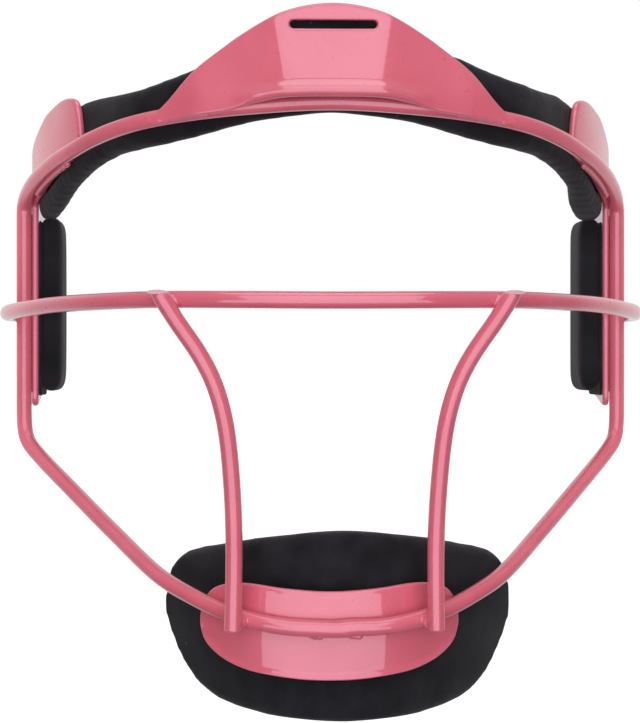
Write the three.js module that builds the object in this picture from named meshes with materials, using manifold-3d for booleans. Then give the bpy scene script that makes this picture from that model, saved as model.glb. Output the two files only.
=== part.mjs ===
// Fielder's face mask: a welded steel wire guard with a forehead plate, two side plates and a
// chin plate, and four fabric-faced foam pads held to the plates by hook patches.
// Millimetres. The mask faces -Y, +Z is up, +X is to the right of someone facing the mask,
// and "left" and "right" in the names are that person's. The origin is the middle of the
// head space, halfway between the two side pads.

import * as THREE from 'three';
import { mergeVertices } from 'three/addons/utils/BufferGeometryUtils.js';
import Module from 'manifold-3d';

const manifold = await Module();
manifold.setup();

// ---- Driving dimensions ---------------------------------------------------------------------

const WIRE_DIAMETER = 4.8;
const WIRE_RADIUS = WIRE_DIAMETER / 2;
const WIRE_SIDES = 10;
const GAP = 0.3;                      // between pieces that touch
const WELD_PITCH = WIRE_DIAMETER + GAP;

const SHEET = 1.6;                    // steel plate thickness
const FABRIC = 0.8;
const HOOK = 1.2;                     // hook patch thickness

const HALF_WIDTH = 94.3;              // middle of each side wire
const BROW_FRONT = 85.6;              // middle of the brow wire, at the middle of the mask
const PANEL_FRONT = 88;               // line of the forehead plate, at the middle of the mask
const REAR = 42;                      // rear edge of the side plates
const FLAT_HALF = 12.6;               // half of the forehead plate's flat middle panel

const SIDE_WIRE_TOP = 35;
const SIDE_WIRE_BOTTOM = -34;

// Offsets are measured square to the brow line, and grow towards the head.
const PLATE_OUTER = WIRE_RADIUS + GAP;
const PLATE_INNER = PLATE_OUTER + SHEET;
const HOOK_FACE = PLATE_INNER + GAP;
const PAD_BACK = HOOK_FACE + HOOK + GAP;
const FOAM_BACK = PAD_BACK + FABRIC + GAP;
const SIDE_FOAM = 3.6;
const FOAM_FACE = FOAM_BACK + SIDE_FOAM;
const SKIN_BACK = FOAM_FACE + GAP;
const SKIN_FACE = SKIN_BACK + FABRIC;

// Forehead plate
const FOREHEAD_HALF = 52.6;           // half of its length along the brow line
const BEND_HEIGHT = 57;               // above this it leans back with the forehead
const LEAN = 0.3;
const LIP = 1.3;                      // how far its lower lip rolls forward
const LIP_HEIGHT = 2.2;
const STRAP_SLOT = { width: 25.5, height: 2.8, z: 76.9 };

// Side plates
const TEMPLE_FRONT = 90;              // distance along the brow line
const CHEEK_FRONT = 139.5;
const SIDE_SLOT = { width: 5.2, height: 22, y: 33, heights: [17.5, -11.5] };
const STRAP_FACE_LOW = 5;             // above this the flat side is free for a strap buckle

// Side pads
const SIDE_PAD = { front: -2.5, rear: 25.5, halfHeight: 27.2, corner: 5 };

// Chin plate and chin pad
const CHIN_FRONT = 96;                // middle of the chin wire
const CHIN_WIRE_Z = -92.1;
const CHIN_PLATE_HALF = 42.7;
const CHIN_LEAN = 0.2;
const CHIN_RIM = 1.2;
const CHIN_PAD_HALF = 71.4;
const CHIN_PAD_SHIFT = 3.2;           // the chin pad sits a little to the right of the middle
const CHIN_FOAM = 8.5;

const COLOUR = { paint: 0xe58a9c, fabric: 0x1f1f21, foam: 0x2c2c2e, hook: 0x141414 };

const group = new THREE.Group();

// ---- Plan curves ----------------------------------------------------------------------------

// A plan curve runs from the middle of the mask round its right side, and is mirrored for the
// left. place() gives the point at a signed distance along it, an offset and a height.
class PlanCurve {
  constructor(path) {
    this.path = path;
    path.arcLengthDivisions = 400;
    this.length = path.getLength();
  }

  place(distance, offset, z) {
    const side = distance < 0 ? -1 : 1;
    const u = THREE.MathUtils.clamp(Math.abs(distance) / this.length, 0, 1);
    const point = this.path.getPointAt(u);
    const tangent = this.path.getTangentAt(u);
    return new THREE.Vector3(
      side * (point.x - tangent.y * offset),
      point.y + tangent.x * offset,
      z,
    );
  }
}

// The brow line: a curved middle, a straight wing, the temple curve, a straight side.
const brow = new PlanCurve(new THREE.Path()
  .moveTo(0, -BROW_FRONT)
  .bezierCurveTo(12, -BROW_FRONT, 24.8, -84, 36, -79.6)
  .lineTo(50.5, -73.9)
  .bezierCurveTo(66, -67.8, 84.9, -38, HALF_WIDTH, 0)
  .lineTo(HALF_WIDTH, REAR));

// The forehead plate is folded to a flat middle panel with two wings that meet the brow line.
const panel = new PlanCurve(new THREE.Path()
  .moveTo(0, -PANEL_FRONT)
  .lineTo(FLAT_HALF, -PANEL_FRONT)
  .quadraticCurveTo(14.5, -PANEL_FRONT, 16.3, -87.3)
  .lineTo(50.5, -73.9)
  .lineTo(60, -70.2));

const SIDE_START = brow.length - REAR;   // where the brow line reaches y = 0

// The chin line follows the middle of the chin wire and then the wings of the chin pad.
const chin = new PlanCurve(new THREE.Path()
  .moveTo(0, -CHIN_FRONT)
  .bezierCurveTo(22, -CHIN_FRONT, 40, -84, 58, -57.5)
  .lineTo(62.5, -50.9));

// ---- Shape helpers --------------------------------------------------------------------------

// A height as a function of distance, smooth through hand-set points.
function heights(points) {
  const slope = points.map((point, i) => {
    const before = points[Math.max(i - 1, 0)];
    const after = points[Math.min(i + 1, points.length - 1)];
    return (after[1] - before[1]) / (after[0] - before[0]);
  });
  return (distance) => {
    const d = THREE.MathUtils.clamp(Math.abs(distance), points[0][0], points.at(-1)[0]);
    let i = points.findIndex((point) => d <= point[0]) - 1;
    i = Math.max(i, 0);
    const [d0, z0] = points[i];
    const [d1, z1] = points[i + 1];
    const span = d1 - d0;
    const t = (d - d0) / span;
    const u = 1 - t;
    return z0 * u * u * (1 + 2 * t) + z1 * t * t * (3 - 2 * t)
      + span * t * u * (slope[i] * u - slope[i + 1] * t);
  };
}

// The same with straight runs between the points.
function straightHeights(points) {
  return (distance) => {
    const i = Math.max(points.findIndex((point) => distance <= point[0]), 1);
    const [d0, z0] = points[i - 1];
    const [d1, z1] = points[i];
    return THREE.MathUtils.mapLinear(distance, d0, d1, z0, z1);
  };
}

// How much a round corner takes off the height, at a distance from the end.
function cornerCut(distance, radius) {
  if (distance >= radius) return 0;
  const run = radius - distance;
  return radius - Math.sqrt(radius * radius - run * run);
}

// Even stations from one distance to another, closer together inside a round corner at each end.
function stations(from, to, count, corner = 0) {
  const list = [];
  const start = from + corner;
  const end = to - corner;
  if (corner > 0) for (const part of [0.03, 0.15, 0.4]) list.push(from + part * corner);
  for (let i = 0; i <= count; i += 1) list.push(start + ((end - start) * i) / count);
  if (corner > 0) for (const part of [0.4, 0.15, 0.03]) list.push(to - part * corner);
  return list;
}

function turnOutward(geometry) {
  const position = geometry.attributes.position;
  const index = geometry.index.array;
  const [a, b, c] = [0, 1, 2].map(() => new THREE.Vector3());
  let volume = 0;
  for (let i = 0; i < index.length; i += 3) {
    a.fromBufferAttribute(position, index[i]);
    b.fromBufferAttribute(position, index[i + 1]);
    c.fromBufferAttribute(position, index[i + 2]);
    volume += a.dot(b.cross(c));
  }
  if (volume < 0) {
    for (let i = 0; i < index.length; i += 3) {
      [index[i], index[i + 1]] = [index[i + 1], index[i]];
    }
  }
  return geometry;
}

// A closed solid through one section per station. section(distance) gives [offset, z] corners.
function loft(curve, distances, section) {
  const sections = distances.map(section);
  const count = sections[0].length;
  const vertices = [];
  distances.forEach((distance, i) => {
    for (const [offset, z] of sections[i]) {
      vertices.push(...curve.place(distance, offset, z).toArray());
    }
  });

  // Each quad is split along its shorter diagonal, so that layers that touch split alike.
  const index = [];
  const corner = (i) => new THREE.Vector3().fromArray(vertices, 3 * i);
  for (let i = 0; i + 1 < distances.length; i += 1) {
    for (let j = 0; j < count; j += 1) {
      const a = i * count + j;
      const b = i * count + ((j + 1) % count);
      const [c, d] = [b + count, a + count];
      if (corner(a).distanceTo(corner(c)) < corner(b).distanceTo(corner(d))) {
        index.push(a, b, c, a, c, d);
      } else {
        index.push(a, b, d, b, c, d);
      }
    }
  }
  const cap = (i, flip) => {
    const outline = sections[i].map(([offset, z]) => new THREE.Vector2(offset, z));
    for (const face of THREE.ShapeUtils.triangulateShape(outline, [])) {
      const corners = face.map((vertex) => vertex + i * count);
      index.push(...(flip ? corners.reverse() : corners));
    }
  };
  const anticlockwise = THREE.ShapeUtils.area(
    sections[0].map(([offset, z]) => new THREE.Vector2(offset, z)),
  ) > 0;
  cap(0, anticlockwise);
  cap(distances.length - 1, !anticlockwise);

  const geometry = new THREE.BufferGeometry();
  geometry.setAttribute('position', new THREE.Float32BufferAttribute(vertices, 3));
  geometry.setIndex(index);
  return turnOutward(geometry);
}

// A sheet of even thickness between two offsets and two heights.
function sheet(curve, distances, outer, inner, low, high) {
  return loft(curve, distances, (d) => [
    [outer, low(d)], [inner, low(d)], [inner, high(d)], [outer, high(d)],
  ]);
}

function wire(points, steps, side = 1) {
  const outline = new THREE.EllipseCurve(0, 0, WIRE_RADIUS, WIRE_RADIUS).getPoints(WIRE_SIDES);
  outline.pop();
  const route = points.map(([x, y, z]) => new THREE.Vector3(side * x, y, z));
  return new THREE.ExtrudeGeometry(new THREE.Shape(outline), {
    steps,
    extrudePath: new THREE.CatmullRomCurve3(route, false, 'centripetal'),
  });
}

// A route given for the right half, completed by its mirror image.
function mirrored(half) {
  const left = half.slice(1).reverse().map(([x, y, z]) => [-x, y, z]);
  return [...left, ...half];
}

function solid(geometry) {
  const bare = geometry.clone();
  bare.deleteAttribute('normal');
  bare.deleteAttribute('uv');
  const merged = mergeVertices(bare, 1e-4);
  return new manifold.Manifold(new manifold.Mesh({
    numProp: 3,
    vertProperties: merged.attributes.position.array,
    triVerts: new Uint32Array(merged.index.array),
  }));
}

function cut(geometry, tool) {
  const mesh = solid(geometry).subtract(solid(tool)).getMesh();
  const result = new THREE.BufferGeometry();
  result.setAttribute('position', new THREE.BufferAttribute(mesh.vertProperties, 3));
  result.setIndex([...mesh.triVerts]);
  return result;
}

// A slot cutter with round ends. Its long side is the larger of the two, and it points along Z.
function slotCutter(width, height, depth) {
  const radius = Math.min(width, height) / 2;
  const reach = Math.max(width, height) / 2 - radius;
  const outline = new THREE.Shape();
  outline.absarc(reach, 0, radius, -Math.PI / 2, Math.PI / 2, false);
  outline.absarc(-reach, 0, radius, Math.PI / 2, (3 * Math.PI) / 2, false);
  const cutter = new THREE.ExtrudeGeometry(outline, {
    depth, bevelEnabled: false, curveSegments: 8,
  });
  return cutter.translate(0, 0, -depth / 2);
}

function add(name, geometry, color, roughness, metalness) {
  const material = new THREE.MeshStandardMaterial({ color, roughness, metalness });
  const mesh = new THREE.Mesh(geometry, material);
  mesh.name = name;
  group.add(mesh);
}

const addSteel = (name, geometry) => add(name, geometry, COLOUR.paint, 0.3, 0.2);
const addFabric = (name, geometry) => add(name, geometry, COLOUR.fabric, 0.95, 0);
const addFoam = (name, geometry) => add(name, geometry, COLOUR.foam, 0.9, 0);
const addHook = (name, geometry) => add(name, geometry, COLOUR.hook, 0.8, 0);

const SIDES = [['left', -1], ['right', 1]];

// ---- Wire guard -----------------------------------------------------------------------------

const browWireHeight = heights([
  [0, 55.2], [24, 54.1], [45.5, 52.3], [62, 50], [79, 47], [90, 44.7], [102.5, 42.4],
  [119.8, 38.6], [130, 35.9], [139, 32.8],
]);

function browWire() {
  const last = SIDE_START - WIRE_RADIUS - 4 * GAP;
  const half = stations(0, last, 14).map((d) => brow.place(d, 0, browWireHeight(d)).toArray());
  return wire(mirrored(half), 46);
}

function sideWire(side) {
  return wire([
    [HALF_WIDTH, 0, SIDE_WIRE_TOP], [HALF_WIDTH, 0, SIDE_WIRE_BOTTOM],
  ], 2, side);
}

// The chin wire: the jaw bend, a straight run forward and down, and the curve round the chin.
function chinWire() {
  return wire(mirrored([
    [0, -CHIN_FRONT, CHIN_WIRE_Z], [15.8, -93.7, -91.5], [30.5, -86.7, -88.3],
    [41.7, -77.5, -83.8], [49.2, -69, -80], [62.9, -48, -69.4], [76.6, -27, -58],
    [90.2, -6.4, -46.2], [93.2, -2.2, -42.6], [94.1, -0.3, -38.8],
    [HALF_WIDTH, 0, SIDE_WIRE_BOTTOM - GAP],
  ]), 54);
}

// The crossbar passes outside the side wires and turns back on to the side plates.
const PASS = HALF_WIDTH + WELD_PITCH;
const TAIL_Z = -2.8;
const CROSSBAR_TAIL = [
  [98.6, 8, TAIL_Z], [95.7, 15.5, TAIL_Z], [HALF_WIDTH, 22, TAIL_Z], [HALF_WIDTH, 27, TAIL_Z],
];

function crossbar() {
  return wire(mirrored([
    [0, -113, -1.4], [26, -110, -1.2], [50, -98, -0.9], [67, -80, -1.1], [79.5, -60, -1.4],
    [90, -38, -2.1], [96.8, -18, -2.6], [PASS, 0, TAIL_Z], ...CROSSBAR_TAIL,
  ]), 66);
}

// The vertical bars are welded to the front of the crossbar and of the chin wire.
const VERTICAL_BAR = [
  [50.9, -105.4, -0.2], [43.7, -104.5, -7.7], [38, -103.8, -15.4], [33.9, -103, -23.1],
  [31.4, -102.2, -30.8], [29.9, -101.4, -38.5], [28.5, -99.1, -54], [28, -96.9, -68],
  [28.1, -95.2, -80], [28.4, -93.9, -93.2],
];

addSteel('brow_wire', browWire());
addSteel('chin_wire', chinWire());
addSteel('crossbar', crossbar());
for (const [name, side] of SIDES) {
  addSteel(`side_wire_${name}`, sideWire(side));
  addSteel(`vertical_bar_${name}`, wire(VERTICAL_BAR, 18, side));
}

// ---- Forehead plate -------------------------------------------------------------------------

const foreheadTop = heights([
  [0, 83.4], [9.8, 82.1], [18, 79.3], [25, 75.5], [31, 71.8], [41, 64.1], [49.6, 55.2],
  [FOREHEAD_HALF, 51.6],
]);
const foreheadBottom = heights([
  [0, 56.6], [19, 56.6], [24, 55.6], [28.8, 52.4], [33, 50.9], [42, 49.8], [51, 48.2],
  [FOREHEAD_HALF, 49.2],
]);

// The steel face leans back above the bend. Its lower edge rolls forward over the brow wire in
// the middle, and on the wings it runs down over the front of the wire.
function foreheadPlate() {
  const front = -(PLATE_OUTER + SHEET);
  const lean = (z) => LEAN * Math.max(0, z - BEND_HEIGHT);
  const wing = stations(FLAT_HALF + 4, FOREHEAD_HALF, 11, 1.6);
  const half = [0, 6, FLAT_HALF, 13.8, 15.2, ...wing];
  const distances = [...half.slice(1).reverse().map((d) => -d), ...half];
  const plate = loft(panel, distances, (d) => {
    const low = foreheadBottom(d);
    const high = foreheadTop(d);
    const lip = LIP * (1 - THREE.MathUtils.smoothstep(Math.abs(d), 20, 29));
    const middle = Math.min(low + 2 * LIP_HEIGHT, (low + high) / 2);
    const bend = THREE.MathUtils.clamp(BEND_HEIGHT, low + 0.1, middle - 0.1);
    return [
      [front + SHEET, low], [front + SHEET, bend], [front + SHEET + lean(middle), middle],
      [front + SHEET + lean(high), high], [front + lean(high), high],
      [front + lean(middle), middle],
      [front + lean(middle) - lip, (low + middle) / 2], [front - lip, low],
    ];
  });
  const { width, height, z } = STRAP_SLOT;
  const slot = slotCutter(width, height, 8 * SHEET).rotateX(Math.PI / 2);
  slot.translate(0, -PANEL_FRONT + front + lean(z), z);
  return cut(plate, slot);
}

addSteel('forehead_plate', foreheadPlate());

// ---- Side plates ----------------------------------------------------------------------------

const sidePlateTop = heights([
  [TEMPLE_FRONT, 56], [91.3, 59], [94, 60.6], [101.5, 61.1], [112.8, 59.5], [120, 57.9],
  [127, 55.1], [136, 51.2], [142, 47.6], [156, 42.5], [170, 37], [179, 29.5], [184, 20],
]);
const sidePlateBottom = straightHeights([
  [TEMPLE_FRONT, 47.5], [91.3, 45], [94, 43.4], [98.8, 42], [112.8, 38.6], [125, 35.2],
  [136, 32.2], [CHEEK_FRONT - 0.5, 31.2], [CHEEK_FRONT, -28.4], [140.6, -31.2], [142.5, -32.2],
  [146, -32], [152, -30.6], [160, -29.2], [170, -28], [177, -25.5], [181, -21], [184, -12],
]);

// One bent sheet per side: a temple lobe that reaches forward inside the brow wire, and a cheek
// lobe behind the side wire, with two strap slots near the rear edge.
function sidePlate(side) {
  const distances = [
    TEMPLE_FRONT, 90.4, 91.3, 94, 98.8, 104, 108, 112.8, 118, 122, 127, 132, 136,
    CHEEK_FRONT - 0.5, CHEEK_FRONT, 140.6, 142.5, 146, 149, 152, 156, 160, 165, 170, 174, 177,
    179, 181, 182.4, brow.length,
  ];
  let plate = loft(brow, distances.map((d) => side * d), (signed) => {
    const d = Math.abs(signed);
    const low = sidePlateBottom(d);
    const high = sidePlateTop(d);
    const middle = Math.max(STRAP_FACE_LOW, low + 1);
    return [
      [PLATE_OUTER, low], [PLATE_INNER, low], [PLATE_INNER, middle],
      [PLATE_INNER, high], [PLATE_OUTER, high], [PLATE_OUTER, middle],
    ];
  });
  for (const z of SIDE_SLOT.heights) {
    const slot = slotCutter(SIDE_SLOT.width, SIDE_SLOT.height, 8 * SHEET).rotateY(Math.PI / 2);
    slot.translate(side * (HALF_WIDTH - PLATE_OUTER), SIDE_SLOT.y, z);
    plate = cut(plate, slot);
  }
  return plate;
}

for (const [name, side] of SIDES) addSteel(`side_plate_${name}`, sidePlate(side));

// ---- Chin plate -----------------------------------------------------------------------------

const chinPlateTop = heights([
  [0, -82], [13.5, -81.3], [26, -80.1], [34, -80.8], [38.9, -83], [41.8, -87.4],
  [CHIN_PLATE_HALF, -91],
]);
const chinPlateBottom = heights([
  [0, -107.2], [9.5, -106.9], [20, -105.8], [27, -104.6], [34, -102.2], [38.5, -99.4],
  [41.5, -96.4], [CHIN_PLATE_HALF, -93.2],
]);
const chinLean = (z) => CHIN_LEAN * Math.max(0, CHIN_WIRE_Z - z);

// A shallow cup behind the chin wire, with its lower rim rolled forward.
function chinPlate() {
  return loft(chin, stations(-CHIN_PLATE_HALF, CHIN_PLATE_HALF, 22, 3), (d) => {
    const low = chinPlateBottom(d);
    const high = chinPlateTop(d);
    const bend = THREE.MathUtils.clamp(CHIN_WIRE_Z, low + 0.2, high - 0.2);
    const rim = low + Math.min(2, (bend - low) / 2);
    const roll = CHIN_RIM * THREE.MathUtils.smoothstep(bend - low, 0, 8);
    return [
      [PLATE_OUTER, high], [PLATE_OUTER, bend], [PLATE_OUTER + chinLean(rim), rim],
      [PLATE_OUTER + chinLean(low) - roll, low], [PLATE_INNER + chinLean(low) - roll, low],
      [PLATE_INNER + chinLean(rim), rim], [PLATE_INNER, bend], [PLATE_INNER, high],
    ];
  });
}

addSteel('chin_plate', chinPlate());

// ---- Forehead pad ---------------------------------------------------------------------------

const FOREHEAD_PAD_HALF = 143;
const foreheadPadTop = heights([
  [0, 80.5], [10, 79.4], [17, 76.5], [24.5, 73], [31, 69.8], [38, 66.8], [44, 64.6],
  [50, 63.2], [56, 61.9], [62, 61], [73.5, 59.9], [84, 59.7], [100, 58.6], [112, 56.6],
  [127, 51.5], [144, 44],
]);
const foreheadPadBottom = heights([
  [0, 53.5], [12, 52.4], [30, 50.8], [52, 48.2], [69, 46.1], [80.5, 44.2], [92, 41.8],
  [107, 37.6], [120, 33.6], [132, 30.1], [144, 27.9],
]);
const PAD_STEP = 58.4;                // above the brow wire the pad fills out to the plate

// The offset of the pad's back: close behind the wire in the middle, and behind the side plates
// at the temples. Above the wire it follows the leaning forehead plate.
function foreheadPadBack(d, z) {
  const run = Math.abs(d);
  const behind = THREE.MathUtils.lerp(
    PLATE_OUTER + GAP,
    PAD_BACK,
    THREE.MathUtils.smoothstep(run, 60, 83),
  );
  const underPlate = 1 - THREE.MathUtils.smoothstep(run, 38, 52);
  const toPanel = (PANEL_FRONT - BROW_FRONT) * (1 - THREE.MathUtils.smoothstep(run, 9, 27));
  const plateBack = -PLATE_OUTER - toPanel + LEAN * Math.max(0, z - BEND_HEIGHT);
  const close = plateBack + 2 * GAP + HOOK;
  const fill = underPlate * THREE.MathUtils.smoothstep(z, PAD_STEP, PAD_STEP + 1.6);
  return THREE.MathUtils.lerp(behind, Math.min(close, behind + 4), fill);
}

function foreheadPadLayer(extra, thickness) {
  const distances = stations(-FOREHEAD_PAD_HALF, FOREHEAD_PAD_HALF, 36, 6);
  return loft(brow, distances, (d) => {
    const cutBack = cornerCut(FOREHEAD_PAD_HALF - Math.abs(d), 6);
    const low = foreheadPadBottom(d) + 0.6 * cutBack;
    const high = foreheadPadTop(d) - cutBack;
    const rest = THREE.MathUtils.clamp(PAD_STEP, low + 0.5, high - 1.2);
    const step = THREE.MathUtils.clamp(PAD_STEP + 1.6, rest + 0.3, high - 0.5);
    const levels = [low, rest, step, (step + high) / 2, high];
    const back = levels.map((z) => [foreheadPadBack(d, z) + extra, z]);
    const face = levels.map((z, i) => [
      thickness === undefined ? FOAM_FACE : back[i][0] + thickness, z,
    ]);
    return [...back, ...face.reverse()];
  });
}

function foreheadPadSkin() {
  const distances = stations(-FOREHEAD_PAD_HALF, FOREHEAD_PAD_HALF, 36, 6);
  const cutBack = (d) => cornerCut(FOREHEAD_PAD_HALF - Math.abs(d), 6);
  return sheet(
    brow,
    distances,
    SKIN_BACK,
    SKIN_FACE,
    (d) => foreheadPadBottom(d) + 0.6 * cutBack(d),
    (d) => foreheadPadTop(d) - cutBack(d),
  );
}

function foreheadHookCentre() {
  const half = 12;
  const back = (z) => -PLATE_OUTER + GAP + LEAN * (z - BEND_HEIGHT);
  const low = 62;
  const high = 71;
  return loft(panel, [-half, half], () => [
    [back(low), low], [back(low) + HOOK, low], [back(high) + HOOK, high], [back(high), high],
  ]);
}

function templeHook(side) {
  const distances = stations(97, 126, 6).map((d) => side * d);
  const low = (d) => foreheadPadBottom(d) + 4;
  return sheet(brow, distances, HOOK_FACE, HOOK_FACE + HOOK, low, (d) => low(d) + 9);
}

addFabric('forehead_pad_back_fabric', foreheadPadLayer(0, FABRIC));
addFoam('forehead_pad_foam', foreheadPadLayer(FABRIC + GAP));
addFabric('forehead_pad_skin_fabric', foreheadPadSkin());
addHook('forehead_pad_hook_centre', foreheadHookCentre());
for (const [name, side] of SIDES) addHook(`forehead_pad_hook_${name}`, templeHook(side));

// ---- Side pads ------------------------------------------------------------------------------

function sidePadLayer(side, outer, inner) {
  const { front, rear, halfHeight, corner } = SIDE_PAD;
  const distances = stations(SIDE_START + front, SIDE_START + rear, 4, corner);
  const half = (signed) => {
    const d = Math.abs(signed) - SIDE_START;
    return halfHeight - cornerCut(Math.min(d - front, rear - d), corner);
  };
  return sheet(
    brow,
    distances.map((d) => side * d),
    outer,
    inner,
    (d) => -half(d),
    half,
  );
}

function sideHook(side) {
  const from = SIDE_START + SIDE_PAD.front + 5;
  const to = SIDE_START + SIDE_PAD.rear - 4;
  const reach = SIDE_PAD.halfHeight - 6;
  return sheet(brow, [side * from, side * to], HOOK_FACE, HOOK_FACE + HOOK, () => -reach, () => reach);
}

for (const [name, side] of SIDES) {
  addFabric(`side_pad_back_fabric_${name}`, sidePadLayer(side, PAD_BACK, PAD_BACK + FABRIC));
  addFoam(`side_pad_foam_${name}`, sidePadLayer(side, FOAM_BACK, FOAM_FACE));
  addFabric(`side_pad_skin_fabric_${name}`, sidePadLayer(side, SKIN_BACK, SKIN_FACE));
  addHook(`side_pad_hook_${name}`, sideHook(side));
}

// ---- Chin pad -------------------------------------------------------------------------------

const chinPadTop = heights([
  [0, -66.4], [18.7, -67.5], [36, -69.5], [50.8, -71.8], [60, -73.4], [65, -75.4],
  [68.6, -78.6], [70.7, -83], [CHIN_PAD_HALF, -88],
]);
const chinPadBottom = heights([
  [0, -119.6], [17.5, -119.1], [30, -118.4], [43.5, -116.8], [54, -114.6], [61, -110.8],
  [65, -106.8], [68, -101.8], [70.5, -96], [CHIN_PAD_HALF, -92.4],
]);

function chinPadLayer(outer, inner) {
  const geometry = loft(chin, stations(-CHIN_PAD_HALF, CHIN_PAD_HALF, 24, 2), (d) => {
    const low = chinPadBottom(d);
    const high = chinPadTop(d);
    const bend = THREE.MathUtils.clamp(CHIN_WIRE_Z, low + 0.5, high - 0.5);
    return [
      [outer, high], [outer, bend], [outer + chinLean(low), low],
      [inner + chinLean(low), low], [inner, bend], [inner, high],
    ];
  });
  return geometry.translate(CHIN_PAD_SHIFT, 0, 0);
}

function chinHook() {
  const low = -102;
  const high = -84;
  return loft(chin, stations(-24, 24, 8), () => [
    [HOOK_FACE, high], [HOOK_FACE, CHIN_WIRE_Z], [HOOK_FACE + chinLean(low), low],
    [HOOK_FACE + HOOK + chinLean(low), low], [HOOK_FACE + HOOK, CHIN_WIRE_Z],
    [HOOK_FACE + HOOK, high],
  ]);
}

// The chin pad is moved sideways, so it starts further back to stay clear of the curved plate.
const CHIN_PAD_BACK = PAD_BACK + 1.6;
const CHIN_FOAM_BACK = CHIN_PAD_BACK + FABRIC + GAP;
const CHIN_SKIN_BACK = CHIN_FOAM_BACK + CHIN_FOAM + GAP;
addFabric('chin_pad_back_fabric', chinPadLayer(CHIN_PAD_BACK, CHIN_PAD_BACK + FABRIC));
addFoam('chin_pad_foam', chinPadLayer(CHIN_FOAM_BACK, CHIN_FOAM_BACK + CHIN_FOAM));
addFabric('chin_pad_skin_fabric', chinPadLayer(CHIN_SKIN_BACK, CHIN_SKIN_BACK + FABRIC));
addHook('chin_pad_hook', chinHook());

export default group;
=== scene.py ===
# Looks of the fielder's face mask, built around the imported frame.
# Shapes are worked out in millimetres, in the frame of the part, and written out in metres.
# Most lie on a plan curve: a place is a distance from its middle, an offset and a height.
import math

import bmesh
import bpy
import numpy as np
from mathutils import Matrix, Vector, geometry


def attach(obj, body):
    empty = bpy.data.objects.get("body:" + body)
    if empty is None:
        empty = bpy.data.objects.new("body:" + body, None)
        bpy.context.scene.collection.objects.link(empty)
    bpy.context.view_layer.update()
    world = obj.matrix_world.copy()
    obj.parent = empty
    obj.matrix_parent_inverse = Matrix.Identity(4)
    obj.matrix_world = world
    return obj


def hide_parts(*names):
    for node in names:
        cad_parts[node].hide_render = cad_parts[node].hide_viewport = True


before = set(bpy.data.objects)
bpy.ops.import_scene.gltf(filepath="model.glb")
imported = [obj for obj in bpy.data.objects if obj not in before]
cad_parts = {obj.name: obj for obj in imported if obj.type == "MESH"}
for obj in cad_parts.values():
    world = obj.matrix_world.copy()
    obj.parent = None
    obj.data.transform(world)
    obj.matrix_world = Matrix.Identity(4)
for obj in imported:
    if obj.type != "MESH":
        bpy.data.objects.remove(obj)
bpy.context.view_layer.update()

MM = 0.001
BODY = "root"

# ---- Driving dimensions, in millimetres -------------------------------

WIRE = 2.4                  # wire radius
GAP = 0.3                   # clearance between neighbouring pieces
SHEET = 1.6                 # steel plate thickness
HALF_WIDTH = 94.3           # from the middle to the side wires
REAR = 42.0                 # how far the side plates' line runs on behind the side wires
BROW_FRONT = 85.6           # how far each plan curve reaches in front of the side wires
PANEL_FRONT = 88.0
CHIN_FRONT = 96.0
SIDE_WIRE_BOTTOM = -34.0
PLATE_OUTER = WIRE + GAP    # the offsets of a plate's two faces
PLATE_INNER = PLATE_OUTER + SHEET
PLATE_TOUCH = WIRE - 0.15   # where the welds draw the plates up to the wire
HOOK = 1.2                  # hook tape thickness
HOOK_FACE = PLATE_INNER + GAP
PAD_BACK = HOOK_FACE + HOOK + GAP
FABRIC = 0.8
FOAM, CHIN_FOAM = 3.6, 8.5
PAD_FACE = PAD_BACK + 2 * (FABRIC + GAP) + FOAM
BEND_HEIGHT = 57.0          # the forehead plate leans back above this height,
LEAN = 0.3                  # by this much for each millimetre
CHIN_WIRE_Z = -92.1         # the chin plate leans back below the chin wire's middle
CHIN_LEAN = 0.2
CHIN_PLATE_SHIFT, CHIN_PAD_SHIFT = -0.8, 2.7    # neither is quite in the middle

# ---- Curves -----------------------------------------------------------


def smoothstep(x, low, high):
    t = np.clip((np.asarray(x, float) - low) / (high - low), 0, 1)
    return t * t * (3 - 2 * t)


def soft_ramp(x, soft):
    """Zero below zero and x above it, with a soft turn between."""
    return 0.5 * (x + np.sqrt(x * x + soft * soft)) - 0.5 * soft


def bezier(a, b, c, d, count=80):
    t = np.linspace(0, 1, count)[:, None]
    a, b, c, d = (np.array(p, float) for p in (a, b, c, d))
    return a * (1 - t) ** 3 + 3 * b * t * (1 - t) ** 2 + 3 * c * t * t * (1 - t) + d * t**3


def even(points, step):
    """The same line with its points a step apart."""
    points = np.asarray(points, float)
    run = np.concatenate([[0], np.cumsum(np.linalg.norm(np.diff(points, axis=0), axis=1))])
    keep = np.concatenate([[True], np.diff(run) > 1e-9])
    count = max(2, int(round(run[-1] / step)) + 1)
    at = np.linspace(0, run[-1], count)
    return np.stack([np.interp(at, run[keep], p[keep]) for p in points.T], axis=1)


def soften(points, reach, closed=False):
    """Rounds the corners of a line of even points, over about reach points either side."""
    half = int(3 * reach)
    weight = np.exp(-0.5 * (np.arange(-half, half + 1) / reach) ** 2)
    weight /= weight.sum()
    if closed:
        padded = np.concatenate([points[-half:], points, points[:half]])
    else:
        before = 2 * points[0] - points[half:0:-1]
        after = 2 * points[-1] - points[-2:-half - 2:-1]
        padded = np.concatenate([before, points, after])
    return np.stack([np.convolve(p, weight, "valid") for p in padded.T], axis=1)


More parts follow.
